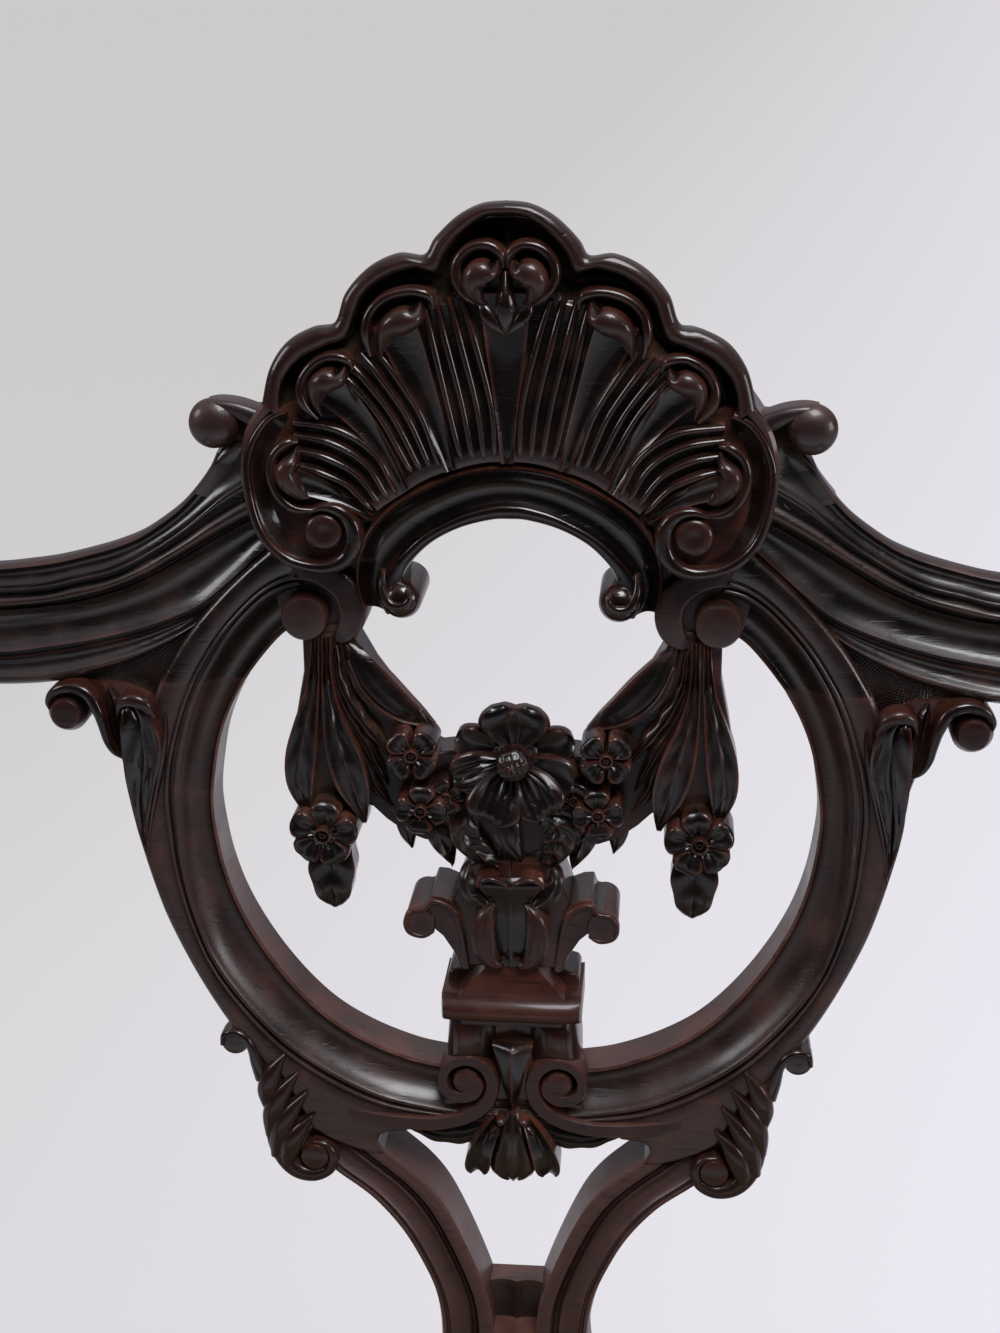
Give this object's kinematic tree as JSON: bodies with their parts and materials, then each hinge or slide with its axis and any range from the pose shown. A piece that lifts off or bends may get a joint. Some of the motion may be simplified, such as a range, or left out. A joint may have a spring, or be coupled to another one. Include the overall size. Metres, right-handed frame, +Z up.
{
  "type": "carved armchair",
  "caption": "Open armchair with a carved shell crest, a pierced ring splat with a flower garland, scrolled arms, ball feet and a lift-out upholstered seat.",
  "frame": {"origin": "on the floor, at the centre of the chair's bounding box", "axes": "+Z up, +X to the right of someone who looks at the chair's front, the front faces -Y"},
  "size_m": [0.7312, 0.5995, 1.05],
  "materials": {
    "mahogany": "dark french polish",
    "beech": "unfinished",
    "steel": "aged",
    "webbing": "woven jute",
    "hessian": "coarse weave",
    "stuffing": "cotton felt",
    "cover_cloth": "woven",
    "bottom_cloth": "plain weave"
  },
  "bodies": {
    "chair_frame": {"crest_rail": "mahogany", "crest_shell": "mahogany", "back_splat": "mahogany", "splat_bracket_left": "mahogany", "splat_bracket_right": "mahogany", "splat_scroll_left": "mahogany", "splat_scroll_right": "mahogany", "flower_garland": "mahogany", "garland_pedestal": "mahogany", "palmette_drop": "mahogany", "splat_shoe": "mahogany", "rear_leg_left": "mahogany", "rear_leg_right": "mahogany", "front_leg_left": "mahogany", "front_leg_right": "mahogany", "knee_bracket_left_front": "mahogany", "knee_bracket_left_side": "mahogany", "knee_bracket_right_front": "mahogany", "knee_bracket_right_side": "mahogany", "front_seat_rail": "mahogany", "back_seat_rail": "mahogany", "left_seat_rail": "mahogany", "right_seat_rail": "mahogany", "corner_block_front_left": "beech", "corner_block_front_right": "beech", "corner_block_rear_left": "beech", "corner_block_rear_right": "beech", "block_screws": "steel", "tenon_pegs": "mahogany", "arm_left": "mahogany", "arm_right": "mahogany", "arm_support_left": "mahogany", "arm_support_right": "mahogany", "arm_support_screws": "steel", "arm_screws": "steel", "arm_screw_plugs": "mahogany"},
    "drop_in_seat": {"seat_frame_front": "beech", "seat_frame_back": "beech", "seat_frame_left": "beech", "seat_frame_right": "beech", "seat_webbing": "webbing", "seat_hessian": "hessian", "seat_stuffing": "stuffing", "seat_cover": "cover_cloth", "seat_bottom_cloth": "bottom_cloth", "seat_tacks": "steel"}
  },
  "joints": [
    {"name": "seat_lift", "type": "slide", "parent": "chair_frame", "child": "drop_in_seat", "axis": [0, 0, 1], "range_m": [0, 0.08]}
  ]
}
